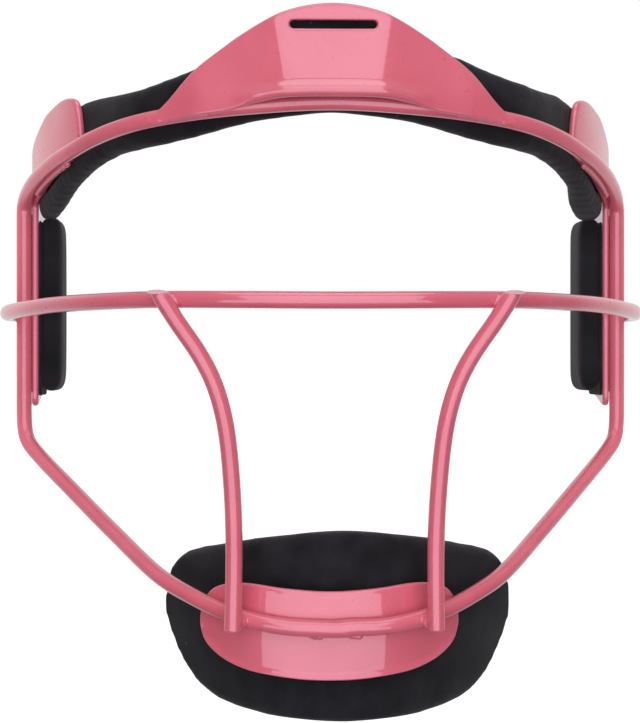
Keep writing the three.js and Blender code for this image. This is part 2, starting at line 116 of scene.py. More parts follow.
def through(points, step=0.5):
    """A smooth line through points: a centripetal Catmull-Rom spline."""
    points = [np.array(p, float) for p in points]
    points = [2 * points[0] - points[1], *points, 2 * points[-1] - points[-2]]
    line = []
    for p0, p1, p2, p3 in zip(points, points[1:], points[2:], points[3:]):
        knots = [0.0]
        for a, b in ((p0, p1), (p1, p2), (p2, p3)):
            knots.append(knots[-1] + math.sqrt(np.linalg.norm(b - a)))
        t0, t1, t2, t3 = knots
        t = np.linspace(t1, t2, 24, endpoint=False)[:, None]
        a1 = (t1 - t) / (t1 - t0) * p0 + (t - t0) / (t1 - t0) * p1
        a2 = (t2 - t) / (t2 - t1) * p1 + (t - t1) / (t2 - t1) * p2
        a3 = (t3 - t) / (t3 - t2) * p2 + (t - t2) / (t3 - t2) * p3
        b1 = (t2 - t) / (t2 - t0) * a1 + (t - t0) / (t2 - t0) * a2
        b2 = (t3 - t) / (t3 - t1) * a2 + (t - t1) / (t3 - t1) * a3
        line.append((t2 - t) / (t2 - t1) * b1 + (t - t1) / (t2 - t1) * b2)
    line.append(points[-2][None])
    return even(np.concatenate(line), step)


def heights(points):
    """A height as a function of the distance from the middle, smooth through listed points."""
    d, z = np.array(points, float).T
    slope = np.gradient(z, d)
    slope[1:-1] = (z[2:] - z[:-2]) / (d[2:] - d[:-2])
    if d[0] == 0:
        slope[0] = 0

    def at(distance):
        x = np.clip(np.abs(distance), d[0], d[-1])
        i = np.clip(np.searchsorted(d, x) - 1, 0, len(d) - 2)
        span = d[i + 1] - d[i]
        t = (x - d[i]) / span
        u = 1 - t
        return (z[i] * u * u * (1 + 2 * t) + z[i + 1] * t * t * (3 - 2 * t)
                + span * t * u * (slope[i] * u - slope[i + 1] * t))

    return at


class PlanCurve:
    """A plan curve by signed distance from the middle. Offsets grow towards the head."""

    STEP = 0.25

    def __init__(self, half, rounding):
        right = even(half, self.STEP)
        left = right[:0:-1] * [-1, 1]
        self.line = soften(np.concatenate([left, right]), rounding / self.STEP)
        run = np.linalg.norm(np.diff(self.line, axis=0), axis=1)
        self.run = np.concatenate([[0], np.cumsum(run)])
        self.run -= self.run[-1] / 2
        tangent = np.gradient(self.line, self.run, axis=0)
        self.tangent = tangent / np.linalg.norm(tangent, axis=1, keepdims=True)

    def place(self, distance, offset, z):
        distance, offset, z = np.broadcast_arrays(
            *(np.asarray(v, float) for v in (distance, offset, z)))
        x, y = (np.interp(distance, self.run, v) for v in self.line.T)
        tx, ty = (np.interp(distance, self.run, v) for v in self.tangent.T)
        over = distance - np.clip(distance, self.run[0], self.run[-1])
        return np.stack([x - ty * offset + tx * over, y + tx * offset + ty * over, z], axis=-1)

    def locate(self, points):
        """The distance along the curve nearest to each point, and the offset from it there."""
        line, run, tangent = self.line[::4], self.run[::4], self.tangent[::4]
        distance, offset = [], []
        for part in np.array_split(points[:, :2], max(1, len(points) // 4000)):
            near = ((part[:, None] - line[None]) ** 2).sum(2).argmin(1)
            gap, way = part - line[near], tangent[near]
            distance.append(run[near] + (gap * way).sum(1))
            offset.append(gap[:, 1] * way[:, 0] - gap[:, 0] * way[:, 1])
        return np.concatenate(distance), np.concatenate(offset)


TEMPLE = bezier((50.5, -73.9), (66, -67.8), (84.9, -38), (HALF_WIDTH, 0))
brow = PlanCurve(np.concatenate([
    bezier((0, -BROW_FRONT), (12, -BROW_FRONT), (24.8, -84), (36, -79.6)),
    TEMPLE, [(HALF_WIDTH, REAR)]]), 2.5)
panel = PlanCurve([(0, -PANEL_FRONT), (14.4, -PANEL_FRONT), (50.5, -73.9), (64, -68.5)], 1.3)
chin = PlanCurve(np.concatenate([
    bezier((0, -CHIN_FRONT), (22, -CHIN_FRONT), (40, -84), (58, -57.5)), [(66, -45.6)]]), 1.0)
SIDE_START = brow.run[-1] - REAR     # where the brow line reaches y = 0

# ---- Mesh helpers -----------------------------------------------------


def make(name, vertices, faces, material=None):
    """A smooth-shaded mesh object from millimetres."""
    mesh = bpy.data.meshes.new(name)
    mesh.from_pydata((np.asarray(vertices, float) * MM).tolist(), [], faces)
    mesh.validate()
    mesh.polygons.foreach_set("use_smooth", [True] * len(mesh.polygons))
    obj = bpy.data.objects.new(name, mesh)
    bpy.context.scene.collection.objects.link(obj)
    if material is not None:
        mesh.materials.append(material)
    return obj


def piece(obj, slot, *nodes):
    """A finished piece, in the place of its CAD nodes."""
    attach(obj, BODY)
    if nodes:
        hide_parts(*nodes)
    return obj


def tube_mesh(path, radius, edge, sides=28):
    """Vertices and faces of a round bar along a path, its ends cut square with rounded edges."""
    path = np.asarray(path, float)
    radius = np.broadcast_to(np.asarray(radius, float), len(path))
    tangent = np.gradient(path, axis=0)
    tangent /= np.linalg.norm(tangent, axis=1, keepdims=True)
    side = np.cross(tangent[0], [0.3, 0.2, 0.93])    # no rod starts along this way
    frames = []
    for t in tangent:
        side = side - t * side.dot(t)
        side /= np.linalg.norm(side)
        frames.append((side, np.cross(t, side)))

    def rounded(i, outward):
        return [(path[i] + outward * edge * (math.sin(a) - 1),
                 radius[i] - edge * (1 - math.cos(a)), frames[i])
                for a in np.linspace(0, math.pi / 2, 5)]

    rings = rounded(0, -tangent[0])[::-1]
    rings += [(path[i], radius[i], frames[i]) for i in range(1, len(path) - 1)]
    rings += rounded(-1, tangent[-1])
    turn = np.linspace(0, 2 * math.pi, sides, endpoint=False)
    rows = [c + r * (np.outer(np.cos(turn), a) + np.outer(np.sin(turn), b))
            for c, r, (a, b) in rings]
    vertices = np.concatenate([*rows, [path[0]], [path[-1]]])
    faces = []
    for i in range(len(rows) - 1):
        for j in range(sides):
            k = (j + 1) % sides
            faces.append((i * sides + j, i * sides + k, (i + 1) * sides + k, (i + 1) * sides + j))
    start, top = len(rows) * sides, (len(rows) - 1) * sides
    for j in range(sides):
        k = (j + 1) % sides
        faces.append((start, k, j))
        faces.append((start + 1, top + j, top + k))
    return vertices, faces


def inside(points, loop):
    """Which points lie inside a closed outline."""
    x, y = points[:, 0:1], points[:, 1:2]
    x0, y0 = loop.T
    x1, y1 = np.roll(loop, -1, axis=0).T
    crosses = (y0 > y) != (y1 > y)
    with np.errstate(divide="ignore", invalid="ignore"):
        at = x0 + (y - y0) * (x1 - x0) / (y1 - y0)
    return (crosses & (x < at)).sum(1) % 2 == 1


def away(points, loop):
    """The distance from each point to a closed outline."""
    a, b = loop, np.roll(loop, -1, axis=0)
    found = []
    for part in np.array_split(points, max(1, len(points) // 1500)):
        ab, ap = b - a, part[:, None] - a
        t = np.clip((ap * ab).sum(2) / np.maximum((ab * ab).sum(1), 1e-12), 0, 1)
        found.append(np.linalg.norm(ap - t[..., None] * ab, axis=2).min(1))
    return np.concatenate(found)


def inset(loop, amount):
    """The outline moved inwards by a small amount."""
    along = np.roll(loop, -1, axis=0) - np.roll(loop, 1, axis=0)
    normal = np.stack([-along[:, 1], along[:, 0]], axis=1)
    normal /= np.linalg.norm(normal, axis=1, keepdims=True)
    x, y = loop.T
    area = (x * np.roll(y, -1) - np.roll(x, -1) * y).sum()
    return loop + normal * amount * (1 if area > 0 else -1)


def slab_mesh(curve, outline, outer, inner, rim, spacing, holes=()):
    """A flat piece with round edges, cut to an outline in (distance, height) and laid on a curve.

    outer(s, z) and inner(s, z) are the offsets of its two faces.
    """
    loops = [outline, *holes]
    steps = rim * (1 - np.cos(np.linspace(0, math.pi / 2, 5)))
    rings = [inset(loop, step if n == 0 else -step) for n, loop in enumerate(loops)
             for step in steps]
    low, high = outline.min(0), outline.max(0)
    rows = []
    for n, z in enumerate(np.arange(low[1], high[1], spacing * 0.87)):
        s = np.arange(low[0] + (n % 2) * spacing / 2, high[0], spacing)
        rows.append(np.stack([s, np.full(len(s), z)], axis=1))
    fill = np.concatenate(rows)
    clear = inside(fill, outline)
    for hole in holes:
        clear &= ~inside(fill, hole)
    for loop in loops:
        clear[clear] = away(fill[clear], loop) > rim + spacing * 0.4
    flat = np.concatenate([*rings, fill[clear]])
    edges, first = [], 0
    for ring in rings:
        n = len(ring)
        edges += [(first + i, first + (i + 1) % n) for i in range(n)]
        first += n
    flat, _, faces, *_ = geometry.delaunay_2d_cdt(
        [Vector(p) for p in flat.tolist()], edges, [], 0, 1e-5)
    flat = np.array([tuple(p) for p in flat])
    faces = np.array([f for f in faces], int)
    middle = flat[faces].mean(1)
    keep = inside(middle, outline)
    for hole in holes:
        keep &= ~inside(middle, hole)
    faces = faces[keep]

    edge = np.min([away(flat, loop) for loop in loops], axis=0)
    on_edge = edge < 1e-4
    full = np.sqrt(1 - (1 - np.clip(edge / rim, 0, 1)) ** 2)
    s, z = flat.T
    o, i = outer(s, z), inner(s, z)
    centre, half = (o + i) / 2, (i - o) / 2 * full
    front = curve.place(s, centre - half, z)
    back = curve.place(s, centre + half, z)
    back_index = np.where(on_edge, np.arange(len(flat)), -1)
    back_index[~on_edge] = len(flat) + np.arange((~on_edge).sum())
    vertices = np.concatenate([front, back[~on_edge]])
    return vertices, faces[:, ::-1].tolist() + back_index[faces].tolist()


def closed(points, step, rounding):
    """A closed outline through corner points, evenly spaced, its corners rounded off."""
    points = np.asarray(points, float)
    line = even(np.concatenate([points, points[:1]]), step)[:-1]
    return soften(line, rounding / step, closed=True) if rounding else line


# ---- Camera -----------------------------------------------------------

CAMERA_PLACE = (-28.71, -749.47, -18.0)
CAMERA_WAY = (0.0375, 0.9993, 0)
LENS, SENSOR = 117.4, 36


def add_camera():
    data = bpy.data.cameras.new("camera")
    data.sensor_width = SENSOR
    data.lens = LENS
    data.clip_end = 100
    obj = bpy.data.objects.new("camera", data)
    obj.location = Vector(CAMERA_PLACE) * MM
    obj.rotation_euler = Vector(CAMERA_WAY).to_track_quat("-Z", "Y").to_euler()
    bpy.context.scene.collection.objects.link(obj)
    bpy.context.scene.camera = obj


add_camera()

# ---- Materials --------------------------------------------------------


class Nodes:
    """A short way to write a node material."""

    def __init__(self, name):
        self.material = bpy.data.materials.new(name)
        self.material.use_nodes = True
        self.tree = self.material.node_tree
        self.tree.nodes.clear()
        self.shader = self.new("ShaderNodeBsdfPrincipled")
        out = self.new("ShaderNodeOutputMaterial")
        self.link(self.shader.outputs["BSDF"], out.inputs["Surface"])

    def new(self, kind, **values):
        node = self.tree.nodes.new(kind)
        for key, value in values.items():
            if key in node.inputs:
                node.inputs[key].default_value = value
            else:
                setattr(node, key, value)
        return node

    def link(self, output, socket):
        self.tree.links.new(output, socket)

    def put(self, socket, value):
        if isinstance(value, bpy.types.NodeSocket):
            self.link(value, socket)
        else:
            socket.default_value = value

    def set(self, **values):
        for key, value in values.items():
            self.put(self.shader.inputs[key.replace("_", " ")], value)

    def calc(self, operation, a, b=0.0):
        node = self.new("ShaderNodeMath", operation=operation)
        self.put(node.inputs[0], a)
        self.put(node.inputs[1], b)
        return node.outputs[0]

    def noise(self, vector, scale, detail=2.0, rough=0.5):
        node = self.new("ShaderNodeTexNoise", Scale=scale, Detail=detail, Roughness=rough)
        self.link(vector, node.inputs["Vector"])
        return node.outputs["Fac"]

    def span(self, value, a, b, c=0.0, d=1.0):
        """The value from a..b carried over to c..d, and held there."""
        node = self.new("ShaderNodeMapRange")
        for socket, v in zip(node.inputs, (value, a, b, c, d)):
            self.put(socket, v)
        return node.outputs[0]

    def mix(self, factor, a, b):
        node = self.new("ShaderNodeMix", data_type="RGBA")
        self.put(node.inputs["Factor"], factor)
        self.put(node.inputs[6], a)
        self.put(node.inputs[7], b)
        return node.outputs[2]

    def bump(self, height, strength, distance, normal=None):
        node = self.new("ShaderNodeBump", Strength=strength, Distance=distance)
        self.put(node.inputs["Height"], height)
        if normal is not None:
            self.link(normal, node.inputs["Normal"])
        return node.outputs["Normal"]

    def place(self):
        """The point on the object, in metres."""
        return self.new("ShaderNodeTexCoord").outputs["Object"]


def rgb(r, g, b):
    """A colour from its usual 0 to 255 values."""
    return (*(((v / 255 + 0.055) / 1.055) ** 2.4 if v > 10 else v / 255 / 12.92
              for v in (r, g, b)), 1)


def paint_material():
    """Gloss pink powder coat: a fine orange peel, soft tone changes, a few dust nibs, a painted
    highlight on its edges and painted shade in its corners.
    """
    m = Nodes("pink_gloss_paint")
    place = m.place()
    cloud = m.noise(place, 55, 3)
    fine = m.noise(place, 900, 2)
    tone = m.span(cloud, 0.3, 0.7)
    colour = m.mix(tone, rgb(208, 96, 111), rgb(216, 105, 120))
    # A painted highlight along sharp edges and painted shade deep in the corners, both read from
    # pointiness.
    edge = m.new("ShaderNodeNewGeometry").outputs["Pointiness"]
    colour = m.mix(m.span(edge, 0.52, 0.6, 0, 0.35), colour, rgb(240, 150, 165))
    colour = m.mix(m.span(edge, 0.48, 0.4, 0, 0.5), colour, rgb(176, 66, 84))
    nib = m.new("ShaderNodeTexVoronoi", feature="F1", Scale=160)
    m.link(place, nib.inputs["Vector"])
    dot = m.span(nib.outputs["Distance"], 0.0, 0.07, 1, 0)
    chosen = m.span(m.noise(place, 40, 0), 0.72, 0.76)
    peel = m.bump(m.noise(place, 110, 1), 0.05, 0.0002)
    normal = m.bump(m.calc("MULTIPLY", dot, chosen), 0.2, 0.0001, peel)
    rough = m.span(fine, 0.3, 0.7, 0.27, 0.34)
    m.set(Base_Color=colour, Roughness=rough, Normal=normal)
    m.set(Specular_IOR_Level=0.45, Specular_Tint=(1, 0.85, 1, 1))
    m.set(Coat_Weight=1.0, Coat_Roughness=0.04, Coat_IOR=1.62)
    m.link(peel, m.shader.inputs["Coat Normal"])
    return m.material


def knit_material(name, wale, course, colour, light, sheen):
    """Brushed knit: rows of loops at a real pitch in millimetres, with lint and soft sheen."""
    m = Nodes(name)
    cloth = m.new("ShaderNodeAttribute", attribute_name="cloth")
    axes = m.new("ShaderNodeSeparateXYZ")
    m.link(cloth.outputs["Vector"], axes.inputs[0])
    along, up, _ = axes.outputs
    wander = m.noise(cloth.outputs["Vector"], 0.25, 2)
    along = m.calc("ADD", along, m.calc("MULTIPLY", wander, 1.2))
    # Each loop is a V: the rows zigzag as they cross a column.
    across = m.calc("FRACT", m.calc("DIVIDE", along, wale))
    zigzag = m.calc("ABSOLUTE", m.calc("SUBTRACT", across, 0.5))
    rows = m.calc("FRACT", m.calc("ADD", m.calc("DIVIDE", up, course), zigzag))
    column = m.calc("SINE", m.calc("MULTIPLY", across, math.pi))
    loop = m.calc("SINE", m.calc("MULTIPLY", rows, math.pi))
    height = m.calc("MULTIPLY", loop, m.calc("ADD", m.calc("MULTIPLY", column, 0.6), 0.4))
    fuzz = m.noise(cloth.outputs["Vector"], 3.5, 4, 0.7)
    height = m.calc("ADD", m.calc("MULTIPLY", height, 0.3), m.calc("MULTIPLY", fuzz, 0.9))
    lint_place = m.new("ShaderNodeTexVoronoi", feature="F1", Scale=120)
    m.link(m.place(), lint_place.inputs["Vector"])
    lint = m.span(lint_place.outputs["Distance"], 0.02, 0.05, 1, 0)
    worn = m.noise(cloth.outputs["Vector"], 0.09, 3)
    tone = m.mix(m.span(worn, 0.35, 0.7), colour, light)
    # Lighter where the loops and fuzz stand high: a painted highlight on raised fibres and painted
    # shade in the hollows between them.
    tone = m.mix(m.span(height, 0.35, 0.9, 0, 0.35), tone, light)
    tone = m.mix(m.calc("MULTIPLY", lint, 0.3), tone, rgb(120, 122, 125))
    m.set(Base_Color=tone, Normal=m.bump(height, 0.35, 0.00022))
    m.set(Roughness=0.95, Specular_IOR_Level=0.2, Sheen_Weight=sheen, Sheen_Roughness=0.45)
    return m.material


def hook_material():
    """Hook tape: close rows of stiff nylon hooks on a woven ground."""
    m = Nodes("hook_tape")
    cloth = m.new("ShaderNodeAttribute", attribute_name="cloth")
    dots = m.new("ShaderNodeTexVoronoi", feature="F1", Scale=1.1)
    dots.inputs["Randomness"].default_value = 0.25
    m.link(cloth.outputs["Vector"], dots.inputs["Vector"])
    hook = m.span(dots.outputs["Distance"], 0.15, 0.45, 1, 0)
    m.set(Base_Color=m.mix(hook, rgb(14, 14, 15), rgb(40, 40, 42)))
    m.set(Normal=m.bump(hook, 0.9, 0.0004), Roughness=0.5, Specular_IOR_Level=0.4)
    return m.material


PAINT = paint_material()
KNIT = knit_material("black_brushed_knit", 0.9, 0.7, rgb(17, 17, 19), rgb(34, 34, 37), 0.12)
BACKING = knit_material("black_backing_knit", 0.6, 0.5, rgb(17, 17, 19), rgb(34, 34, 37), 0.12)
HOOK_TAPE = hook_material()

# ---- Wire guard -------------------------------------------------------

brow_height = heights([
    [0, 55.2], [24, 54.1], [45.5, 52.3], [62, 50], [79, 47], [90, 44.7], [102.5, 42.4],
    [119.8, 38.6], [130, 35.9], [139, 32.8],
])
SIDES = (("left", -1), ("right", 1))


def mirrored(half):
    return [(-x, y, z) for x, y, z in half[:0:-1]] + list(half)


CHIN_ROUTE = mirrored([
    (0, -CHIN_FRONT, CHIN_WIRE_Z), (15.8, -93.7, -91.5), (30.5, -86.7, -88.3),
    (41.7, -77.5, -83.8), (49.2, -69, -80), (62.9, -48, -69.4), (76.6, -27, -58),
    (90.2, -6.4, -46.2), (93.2, -2.2, -42.6), (94.1, -0.3, -38.8),
    (HALF_WIDTH, 0, SIDE_WIRE_BOTTOM - GAP),
])
PASS = HALF_WIDTH + 2 * WIRE + GAP    # where the crossbar passes outside the side wire
TAIL_Z = -2.8
CROSSBAR_ROUTE = mirrored([
    (0, -113, -1.4), (26, -110, -1.2), (50, -98, -0.9), (67, -80, -1.1), (79.5, -60, -1.4),
    (90, -38, -2.1), (96.8, -18, -2.6), (PASS, 0, TAIL_Z), (98.6, 8, TAIL_Z),
    (95.7, 15.5, TAIL_Z), (HALF_WIDTH, 22, TAIL_Z), (HALF_WIDTH, 27, TAIL_Z),
])
BAR_ROUTE = [
    (49.7, -105.6, 5.0), (48.8, -105.4, 0.8), (46.6, -105.1, -2.6), (43.4, -104.5, -7.7),
    (38, -103.8, -15.4), (33.9, -103, -23.1), (31.4, -102.2, -30.8), (29.9, -101.4, -38.5),
    (28.5, -99.1, -54), (28, -96.9, -68), (28.1, -95.2, -80), (28.4, -93.9, -93.2),
]
TURN_Z, TURN_RUN = 31.2, 4.5          # where the brow wire turns down into the side wire
BUTT_X, CHIN_LEVEL = 3.0, -85.0       # the rod's ends were butt welded under the chin


def under_chin(path, x, width):
    """One where the rod passes a place under the chin, falling to zero beside it."""
    return np.exp(-((path[:, 0] - x) / width) ** 2) * (path[:, 2] < CHIN_LEVEL)


def perimeter_route():
    """The rod round the whole mask: along the brow, down the right side, round the chin and up."""
    s = np.arange(TURN_RUN - SIDE_START, SIDE_START - TURN_RUN + 0.1, 1.0)
    top = brow.place(s, 0, brow_height(s))
    jaw = through(CHIN_ROUTE, 1.0)[::-1]
    turn_right, turn_left = ((x, 0, TURN_Z) for x in (HALF_WIDTH, -HALF_WIDTH))
    loop = np.concatenate([top, [turn_right], jaw, [turn_left], top[:1]])
    loop = soften(even(loop, 1.0)[:-1], 1.9, closed=True)
    # The rod isn't quite true where its ends meet.
    loop[:, 2] += 0.35 * under_chin(loop, BUTT_X, 5) * np.sin((loop[:, 0] - BUTT_X) / 3.2)
    return loop


def perimeter_radius(path):
    """The rod is a little swollen by its butt weld."""
    return WIRE * (1 + 0.06 * under_chin(path, BUTT_X - 0.4, 1.3))


def rod(name, path, *nodes, edge, radius=WIRE):
    vertices, faces = tube_mesh(path, radius, edge)
    return piece(make(name, vertices, faces, PAINT), "frame_paint", *nodes)


CUT_HIGH, CUT_LOW = 21.0, -29.0       # the rod is shown in four lengths that meet here
perimeter = perimeter_route()


def stretch(low_x, high_x, low_z, high_z):
    """The length of the rod that lies in a range of widths and heights, ends included."""
    x, _, z = perimeter.T
    found = (x > low_x) & (x < high_x) & (z > low_z) & (z < high_z)
    start = int(np.flatnonzero(found & ~np.roll(found, 1))[0])
    return np.roll(perimeter, -start + 1, axis=0)[:int(found.sum()) + 1]


FAR, SIDE_X = 1000.0, 50.0            # past everything, and between bars and side wires
brow_path = stretch(-FAR, FAR, CUT_HIGH, FAR)
chin_path = stretch(-FAR, FAR, -FAR, CUT_LOW)
side_paths = {"left": stretch(-FAR, -SIDE_X, CUT_LOW, CUT_HIGH),
              "right": stretch(SIDE_X, FAR, CUT_LOW, CUT_HIGH)}
crossbar_path = soften(through(CROSSBAR_ROUTE, 1.0), 2.5)
bar_paths = {name: soften(through([(k * x, y, z) for x, y, z in BAR_ROUTE], 1.0), 2.5)
             for name, k in SIDES}
BAR_TOP, BAR_TOP_Y, BAR_TILT = 0.85, -105.4, 0.28    # the cut's height, depth and slope


def cut_slanting(vertices, soft=0.4):
    """Cuts a bar off along the crossbar's top, lower at the front, with a soft edge."""
    height = BAR_TOP + BAR_TILT * (vertices[:, 1] - BAR_TOP_Y)
    vertices[:, 2] = height - soft_ramp(height - vertices[:, 2], soft)
    return vertices


rod("brow_wire_rod", brow_path, "brow_wire", edge=0.05)
rod("chin_wire_rod", chin_path, "chin_wire", radius=perimeter_radius(chin_path), edge=0.05)
rod("crossbar_rod", crossbar_path, "crossbar", edge=0.9)
for name, k in SIDES:
    rod(f"side_wire_rod_{name}", side_paths[name], f"side_wire_{name}", edge=0.05)
    vertices, faces = tube_mesh(bar_paths[name], WIRE, edge=0.6)
    piece(make(f"vertical_bar_rod_{name}", cut_slanting(vertices), faces, PAINT),
          "frame_paint", f"vertical_bar_{name}")

# ---- Welds ------------------------------------------------------------

WELD_VOXEL = 0.3
WELD_UNDER = 0.1            # how far a weld's part of a rod lies under the rod's surface
SEAM = 2.0                  # how far a bead lies off a wire's middle, in the corner beside it
# Along the brow wire: from, to, points, offset, how far below the wire's middle, and radius.
BROW_WELDS = {"temple": (98, 128, 12, SEAM, 1.9, 1.05), "wing": (36, 50, 8, -1.9, 1.3, 0.8)}


def ball(mesh, centre, radius):
    """Adds a fine ball to a mesh, for a drop of weld metal."""
    made = bmesh.ops.create_icosphere(mesh, subdivisions=3, radius=radius * MM)
    bmesh.ops.translate(mesh, verts=made["verts"], vec=Vector(centre) * MM)


def add_tube(mesh, path, radius):
    vertices, faces = tube_mesh(path, radius, edge=0.3, sides=24)
    made = [mesh.verts.new(v) for v in vertices * MM]
    for face in faces:
        mesh.faces.new([made[i] for i in face])


def clip(path, centre, reach):
    near = np.linalg.norm(path - centre, axis=1) < reach
    return path[near]


def weld(name, drops, rods=(), centre=None, reach=7.0, smooth=26):
    """Weld metal: drops run together with the rods that they join, and smoothed in the corner.

    The rods' own part of it lies just under their surface, so only the fillet shows.
    """
    mesh = bmesh.new()
    for path in rods:
        add_tube(mesh, clip(path, centre, reach), WIRE - WELD_UNDER)
    for place, radius in drops:
        ball(mesh, place, radius)
    data = bpy.data.meshes.new(name)
    mesh.to_mesh(data)
    mesh.free()
    obj = bpy.data.objects.new(name, data)
    bpy.context.scene.collection.objects.link(obj)
    voxel_remesh(obj, WELD_VOXEL)
    relax = obj.modifiers.new("soften", "SMOOTH")
    relax.iterations = smooth
    apply_modifiers(obj)
    obj.data.polygons.foreach_set("use_smooth", [True] * len(obj.data.polygons))
    obj.data.materials.append(PAINT)
    return piece(obj, "frame_paint")


def nearest(path, other):
    """The points of two rods that lie closest to each other."""
    gap = np.linalg.norm(path[:, None] - other[None], axis=2)
    i, j = np.unravel_index(gap.argmin(), gap.shape)
    return path[i], other[j], i, j


def rod_weld(name, path, other, size=1.2, reach=7.5):
    """A weld all round the place where one rod lies against another."""
    a, b, i, j = nearest(path, other)
    centre = (a + b) / 2
    across = (b - a) / np.linalg.norm(b - a)
    along = [path[min(i + 2, len(path) - 1)] - path[max(i - 2, 0)],
             other[min(j + 2, len(other) - 1)] - other[max(j - 2, 0)]]
    along = [v / np.linalg.norm(v) for v in along]
    bisector = along[0] + along[1] * np.sign(along[0].dot(along[1]))
    bisector -= across * bisector.dot(across)
    bisector /= np.linalg.norm(bisector)
    third = np.cross(across, bisector)
    drops = []
    for n, angle in enumerate(np.linspace(0, 2 * math.pi, 16, endpoint=False)):
        ring = math.cos(angle) * bisector * 2.2 + math.sin(angle) * third * 1.6
        drops.append((centre + ring, size * (0.72 + 0.05 * math.sin(2.4 * n))))
    return weld(name, drops, (path, other), centre, reach)


def bead(name, points, radius, pitch=1.1):
    """A run of weld along a seam, with the ripple of its drops."""
    line = even(points, pitch)
    drops = [(place, radius * (1 + 0.1 * math.sin(2.1 * n))) for n, place in enumerate(line)]
    return weld(name, drops, smooth=7)


def all_welds():
    for name, k in SIDES:
        # A bar's two welds are looked for near its ends.
        rod_weld(f"weld_bar_crossbar_{name}", bar_paths[name][8:20], crossbar_path, 0.9, 6.0)
        rod_weld(f"weld_bar_chin_{name}", bar_paths[name][-16:], chin_path)
        rod_weld(f"weld_crossbar_side_{name}", crossbar_path, side_paths[name])
        tail = crossbar_path[-12:-1] if k > 0 else crossbar_path[1:12]
        for place, z in (("top", SEAM), ("bottom", -SEAM)):
            bead(f"weld_tail_{place}_{name}", tail + [-1.1 * k, 0, z], 1.0)
        for place, (start, end, count, offset, below, radius) in BROW_WELDS.items():
            s = np.linspace(start, end, count) * k
            line = brow.place(s, offset, brow_height(s) - below)
            bead(f"weld_{place}_{name}", line, radius)
        z = np.linspace(28, -27, 24)
        points = np.stack([0 * z + k * (HALF_WIDTH - SEAM), 0 * z + 1.9, z], 1)
        bead(f"weld_side_{name}", points, 0.9)
    for place, x in (("left", -5.2), ("right", 5.6)):
        point = np.array([x, -CHIN_FRONT + SEAM, CHIN_WIRE_Z - SEAM])
        bead(f"weld_chin_{place}", [point - [1.2, 0, 0], point + [1.2, 0.1, -0.3]], 1.15, 0.8)
    for name, k in SIDES:
        s = np.linspace(30, 38, 6) * k
        bead(f"weld_chin_end_{name}", chin.place(s, SEAM, -88.0), 1.0)


# ---- Steel plates -----------------------------------------------------


SHEET_RIM = 0.75            # the radius of a plate's edges
BEFORE_WIRE, BEHIND_WIRE = (-PLATE_INNER, -PLATE_TOUCH), (PLATE_TOUCH, PLATE_INNER)


def steel_plate(name, node, curve, outline, offsets, shape, spacing, holes=(), shift=0.0):
    """A painted sheet between two offsets from a plan curve, moved inwards by shape(s, z)."""
    outer, inner = offsets
    vertices, faces = slab_mesh(
        curve, outline, lambda s, z: outer + shape(s, z), lambda s, z: inner + shape(s, z),
        SHEET_RIM, spacing, holes)
    obj = make(name, vertices + [shift, 0, 0], faces, PAINT)
    turn_outward(obj)
    return piece(obj, "frame_paint", node)


def turn_outward(obj):
    mesh = bmesh.new()
    mesh.from_mesh(obj.data)
    bmesh.ops.remove_doubles(mesh, verts=mesh.verts, dist=1e-7)
    bmesh.ops.recalc_face_normals(mesh, faces=mesh.faces)
    if mesh.calc_volume(signed=True) < 0:
        bmesh.ops.reverse_faces(mesh, faces=mesh.faces)
    mesh.to_mesh(obj.data)
    mesh.free()


def band_outline(low, high, bottom, top, step, rounding):
    """The outline between two heights, from one distance to another."""
    s = np.linspace(low, high, int((high - low) / step) + 1)
    points = np.concatenate([np.stack([s, bottom(s)], 1), np.stack([s[::-1], top(s[::-1])], 1)])
    return closed(points, step, rounding)


def slot_outline(s, z, width, height, step=0.3):
    """A slot with round ends; its long side is the larger of the two."""
    radius = min(width, height) / 2
    reach = max(width, height) / 2 - radius
    turn = np.linspace(-math.pi / 2, math.pi / 2, 13)
    end = np.stack([reach + radius * np.cos(turn), radius * np.sin(turn)], 1)
    points = np.concatenate([end, -end])
    if height > width:
        points = points[:, ::-1] * [1, -1]
    return closed(points + [s, z], step, 0)


forehead_arch = heights([
    [0, 83.4], [4.2, 83.15], [8.5, 82.45], [12.7, 81.3], [16.9, 79.7], [21.2, 77.5],
    [25.4, 75.0], [29.8, 72.1], [39.9, 64.4], [48.1, 55.9], [53, 51.8],
])
forehead_bottom = heights([
    [0, 56.0], [12, 55.8], [20.8, 54.6], [26.4, 53.2], [30.5, 52.3], [36, 51.7], [42, 51.0],
    [51, 49.7], [55, 50.0],
])
FOREHEAD_HALF = 55.0
FOREHEAD_SLOT = (0, 77.0, 24.6, 2.4)  # its place, width and height


class Creased:
    """The forehead plate's surface: the creases beside its flat middle spread upwards."""

    def place(self, s, offset, z):
        s, offset, z = np.broadcast_arrays(s, offset, z)
        side = np.sign(s)
        d = np.abs(s)
        spread = 0.24 * (np.clip(z, 60, 84) - 71)
        shift = side * spread * smoothstep(d, 3, 11) * (1 - smoothstep(d, 26, 42))
        point = panel.place(s - shift, offset, z)
        point[..., 0] += shift
        return point


def forehead_top(s):
    """The top edge is a smooth arch as seen from the front, across the creases."""
    z = 80.0 + 0 * s
    for _ in range(6):
        offset = LEAN * soft_ramp(z - BEND_HEIGHT, 3.0) - PLATE_INNER
        z = forehead_arch(Creased().place(s, offset, z)[..., 0])
    return z


def forehead_shift(s, z):
    """The plate leans back, its lower edge turns out in a lip, and its wing tips turn in."""
    d = np.abs(s)
    lean = LEAN * soft_ramp(z - BEND_HEIGHT, 3.0)
    rise = z - forehead_bottom(d)
    lip = 1.5 * (1 - smoothstep(rise, 2.6, 5.0)) * smoothstep(rise, -0.6, 2.6)
    lip = lip * (1 - smoothstep(d, 20, 29))
    return lean - lip + 2.3 * smoothstep(d, 38, 53)


